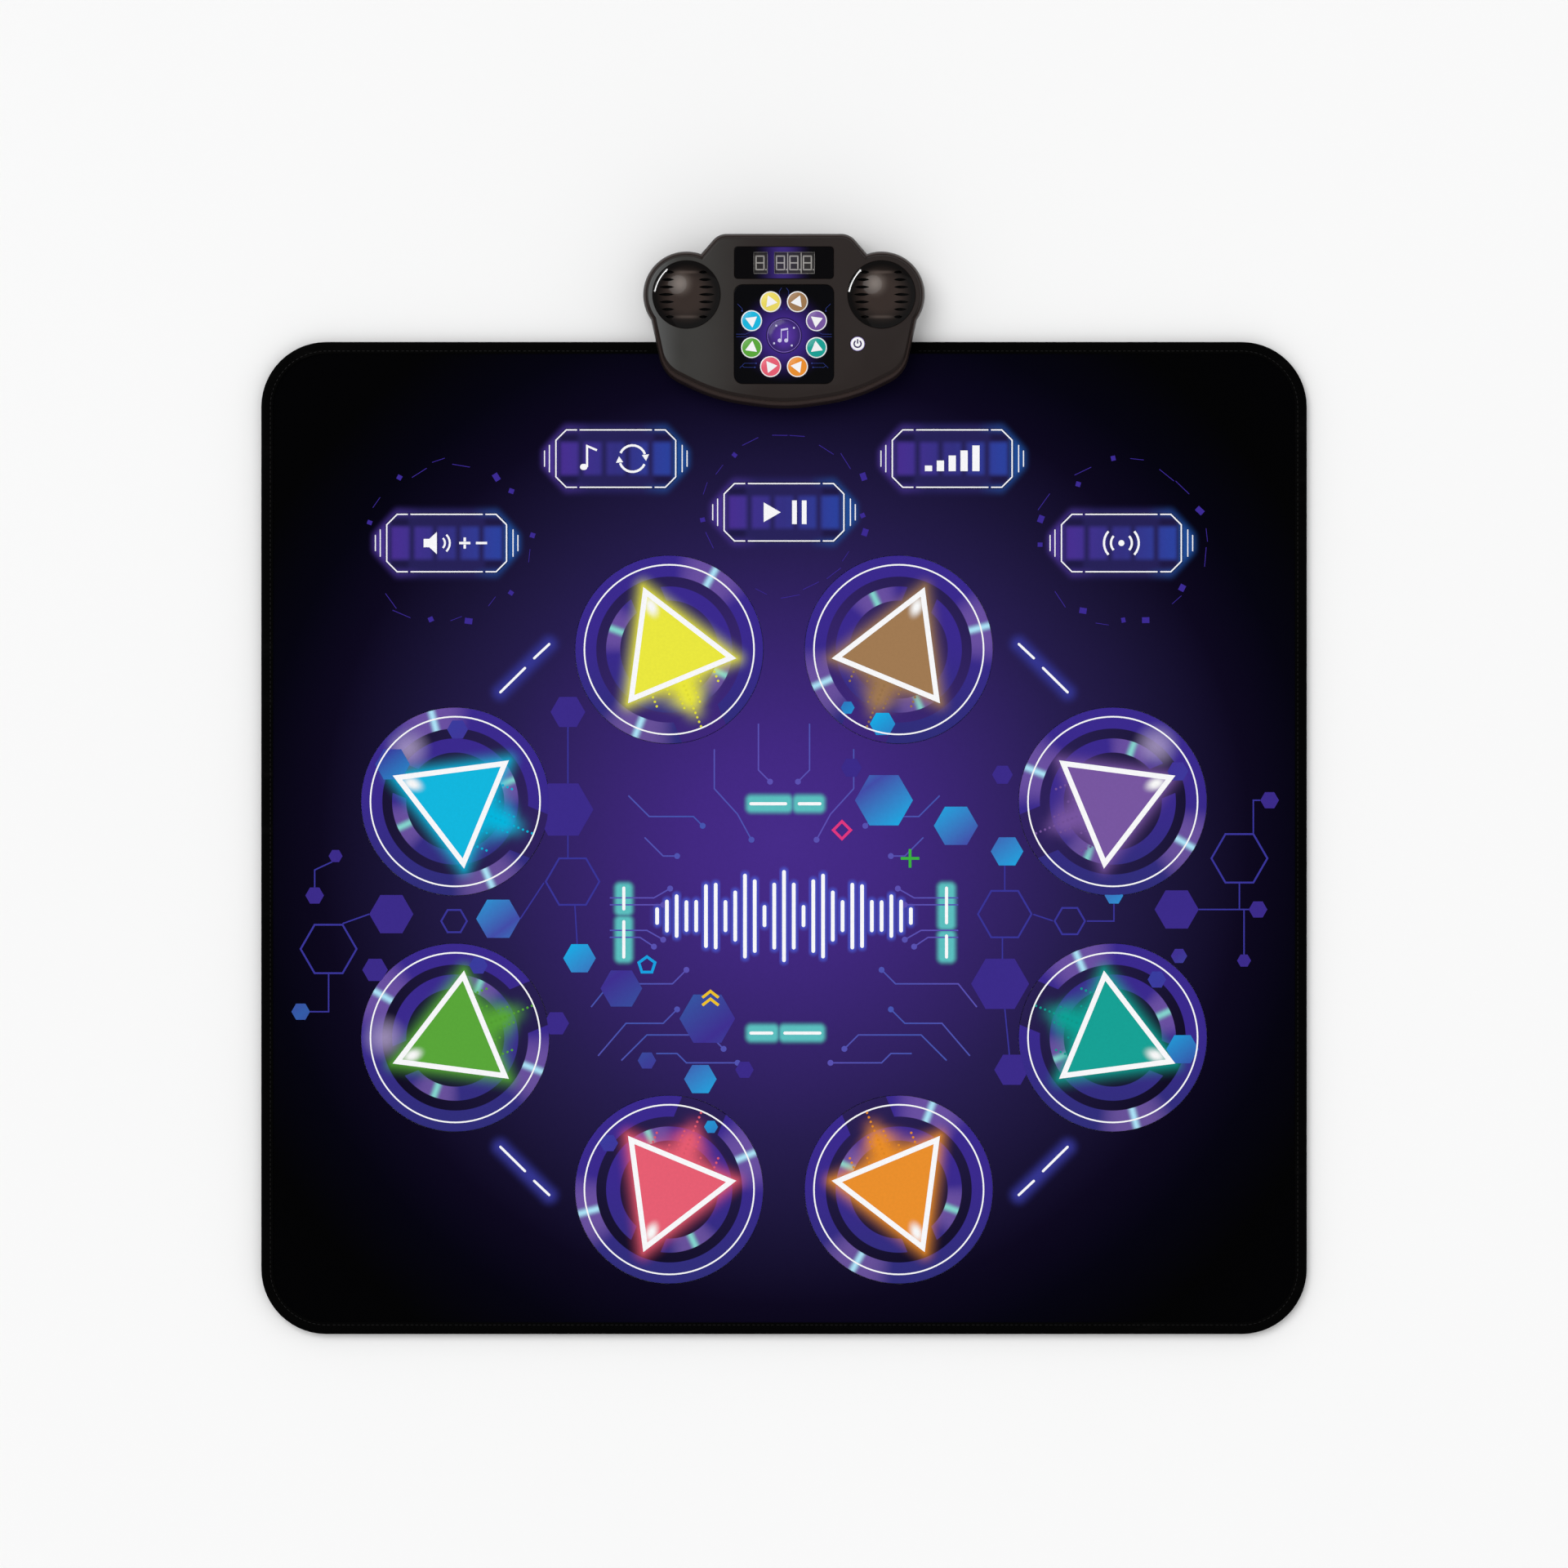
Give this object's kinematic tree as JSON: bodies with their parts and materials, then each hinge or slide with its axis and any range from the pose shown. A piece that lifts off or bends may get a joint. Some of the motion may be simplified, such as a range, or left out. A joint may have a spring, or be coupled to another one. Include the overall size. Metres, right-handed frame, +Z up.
{
  "type": "electronic dance mat",
  "caption": "Soft pressure mat with round arrow pads in a ring, control pads along its rear, and a slim console with speakers and a digit display clamped to its rear edge.",
  "frame": {"origin": "on the floor, under the middle of the whole outline", "axes": "+Z up, +Y from the player's front edge towards the console, +X to the player's right"},
  "size_m": [0.9, 0.947, 0.05],
  "materials": {
    "anti_slip_cloth": "matte",
    "foam": "matte",
    "circuit_film": "satin",
    "printed_cover": "satin",
    "binding_tape": "matte",
    "control_pad": "satin",
    "clamp_steel": "satin",
    "console_plastic": "satin",
    "smoked_window": "gloss",
    "panel_gloss": "gloss",
    "centre_lens": "gloss",
    "button_white": "satin",
    "switch_black": "satin",
    "grille_plastic": "gloss",
    "speaker_steel": "satin",
    "cone_paper": "matte",
    "board_green": "satin",
    "digit_grey": "satin",
    "connector_cream": "satin",
    "tail_film": "satin",
    "inner_plastic": "matte",
    "cell_case": "satin",
    "screw_steel": "satin",
    "foot_rubber": "matte",
    "yellow_arrow": "satin",
    "yellow_lens": "gloss",
    "brown_arrow": "satin",
    "brown_lens": "gloss",
    "purple_arrow": "satin",
    "purple_lens": "gloss",
    "teal_arrow": "satin",
    "teal_lens": "gloss",
    "orange_arrow": "satin",
    "orange_lens": "gloss",
    "pink_arrow": "satin",
    "pink_lens": "gloss",
    "green_arrow": "satin",
    "green_lens": "gloss",
    "blue_arrow": "satin",
    "blue_lens": "gloss"
  },
  "bodies": {
    "mat_and_console": {"anti_slip_base": "anti_slip_cloth", "foam_core": "foam", "lower_circuit_film": "circuit_film", "spacer_foam": "foam", "upper_circuit_film": "circuit_film", "top_cover": "printed_cover", "edge_binding": "binding_tape", "film_tail": "tail_film", "clamp_plate": "clamp_steel", "left_clamp_screw": "screw_steel", "right_clamp_screw": "screw_steel", "console_top_shell": "console_plastic", "console_bottom_shell": "console_plastic", "display_window": "smoked_window", "indicator_panel": "panel_gloss", "yellow_lens": "yellow_lens", "brown_lens": "brown_lens", "purple_lens": "purple_lens", "teal_lens": "teal_lens", "orange_lens": "orange_lens", "pink_lens": "pink_lens", "green_lens": "green_lens", "blue_lens": "blue_lens", "centre_lens": "centre_lens", "power_switch": "switch_black", "left_speaker_grille": "grille_plastic", "left_speaker_frame": "speaker_steel", "right_speaker_grille": "grille_plastic", "right_speaker_frame": "speaker_steel", "main_board": "board_green", "single_digit_display": "digit_grey", "triple_digit_display": "digit_grey", "tail_connector": "connector_cream", "battery_box": "inner_plastic", "battery_cell_1": "cell_case", "battery_cell_2": "cell_case", "battery_cell_3": "cell_case", "battery_cell_4": "cell_case", "left_shell_screw": "screw_steel", "right_shell_screw": "screw_steel", "left_foot": "foot_rubber", "right_foot": "foot_rubber"},
    "yellow_arrow_pad": {"yellow_arrow_pad": "yellow_arrow"},
    "brown_arrow_pad": {"brown_arrow_pad": "brown_arrow"},
    "purple_arrow_pad": {"purple_arrow_pad": "purple_arrow"},
    "teal_arrow_pad": {"teal_arrow_pad": "teal_arrow"},
    "orange_arrow_pad": {"orange_arrow_pad": "orange_arrow"},
    "pink_arrow_pad": {"pink_arrow_pad": "pink_arrow"},
    "green_arrow_pad": {"green_arrow_pad": "green_arrow"},
    "blue_arrow_pad": {"blue_arrow_pad": "blue_arrow"},
    "volume_pad": {"volume_pad": "control_pad"},
    "mode_pad": {"mode_pad": "control_pad"},
    "start_pad": {"start_pad": "control_pad"},
    "level_pad": {"level_pad": "control_pad"},
    "wireless_pad": {"wireless_pad": "control_pad"},
    "power_button": {"power_button": "button_white"},
    "battery_door": {"battery_door": "console_plastic", "battery_door_screw": "screw_steel"},
    "left_cone": {"left_speaker_cone": "cone_paper"},
    "right_cone": {"right_speaker_cone": "cone_paper"}
  },
  "joints": [
    {"name": "yellow_arrow_pad_press", "type": "slide", "parent": "mat_and_console", "child": "yellow_arrow_pad", "axis": [0, 0, -1], "range_m": [0, 0.001], "stiffness_N_per_m": 5000, "springref_m": -0.001},
    {"name": "brown_arrow_pad_press", "type": "slide", "parent": "mat_and_console", "child": "brown_arrow_pad", "axis": [0, 0, -1], "range_m": [0, 0.001], "stiffness_N_per_m": 5000, "springref_m": -0.001},
    {"name": "purple_arrow_pad_press", "type": "slide", "parent": "mat_and_console", "child": "purple_arrow_pad", "axis": [0, 0, -1], "range_m": [0, 0.001], "stiffness_N_per_m": 5000, "springref_m": -0.001},
    {"name": "teal_arrow_pad_press", "type": "slide", "parent": "mat_and_console", "child": "teal_arrow_pad", "axis": [0, 0, -1], "range_m": [0, 0.001], "stiffness_N_per_m": 5000, "springref_m": -0.001},
    {"name": "orange_arrow_pad_press", "type": "slide", "parent": "mat_and_console", "child": "orange_arrow_pad", "axis": [0, 0, -1], "range_m": [0, 0.001], "stiffness_N_per_m": 5000, "springref_m": -0.001},
    {"name": "pink_arrow_pad_press", "type": "slide", "parent": "mat_and_console", "child": "pink_arrow_pad", "axis": [0, 0, -1], "range_m": [0, 0.001], "stiffness_N_per_m": 5000, "springref_m": -0.001},
    {"name": "green_arrow_pad_press", "type": "slide", "parent": "mat_and_console", "child": "green_arrow_pad", "axis": [0, 0, -1], "range_m": [0, 0.001], "stiffness_N_per_m": 5000, "springref_m": -0.001},
    {"name": "blue_arrow_pad_press", "type": "slide", "parent": "mat_and_console", "child": "blue_arrow_pad", "axis": [0, 0, -1], "range_m": [0, 0.001], "stiffness_N_per_m": 5000, "springref_m": -0.001},
    {"name": "volume_pad_press", "type": "slide", "parent": "mat_and_console", "child": "volume_pad", "axis": [0, 0, -1], "range_m": [0, 0.001], "stiffness_N_per_m": 5000, "springref_m": -0.001},
    {"name": "mode_pad_press", "type": "slide", "parent": "mat_and_console", "child": "mode_pad", "axis": [0, 0, -1], "range_m": [0, 0.001], "stiffness_N_per_m": 5000, "springref_m": -0.001},
    {"name": "start_pad_press", "type": "slide", "parent": "mat_and_console", "child": "start_pad", "axis": [0, 0, -1], "range_m": [0, 0.001], "stiffness_N_per_m": 5000, "springref_m": -0.001},
    {"name": "level_pad_press", "type": "slide", "parent": "mat_and_console", "child": "level_pad", "axis": [0, 0, -1], "range_m": [0, 0.001], "stiffness_N_per_m": 5000, "springref_m": -0.001},
    {"name": "wireless_pad_press", "type": "slide", "parent": "mat_and_console", "child": "wireless_pad", "axis": [0, 0, -1], "range_m": [0, 0.001], "stiffness_N_per_m": 5000, "springref_m": -0.001},
    {"name": "power_button_press", "type": "slide", "parent": "mat_and_console", "child": "power_button", "axis": [0, 0, -1], "range_m": [0, 0.0012], "stiffness_N_per_m": 1500, "springref_m": -0.001},
    {"name": "battery_door_slide", "type": "slide", "parent": "mat_and_console", "child": "battery_door", "axis": [0, 1, 0], "range_m": [0, 0.06]},
    {"name": "left_cone_stroke", "type": "slide", "parent": "mat_and_console", "child": "left_cone", "axis": [0, 0, 1], "range_m": [-0.0008, 0.0008], "stiffness_N_per_m": 2000},
    {"name": "right_cone_stroke", "type": "slide", "parent": "mat_and_console", "child": "right_cone", "axis": [0, 0, 1], "range_m": [-0.0008, 0.0008], "stiffness_N_per_m": 2000}
  ]
}
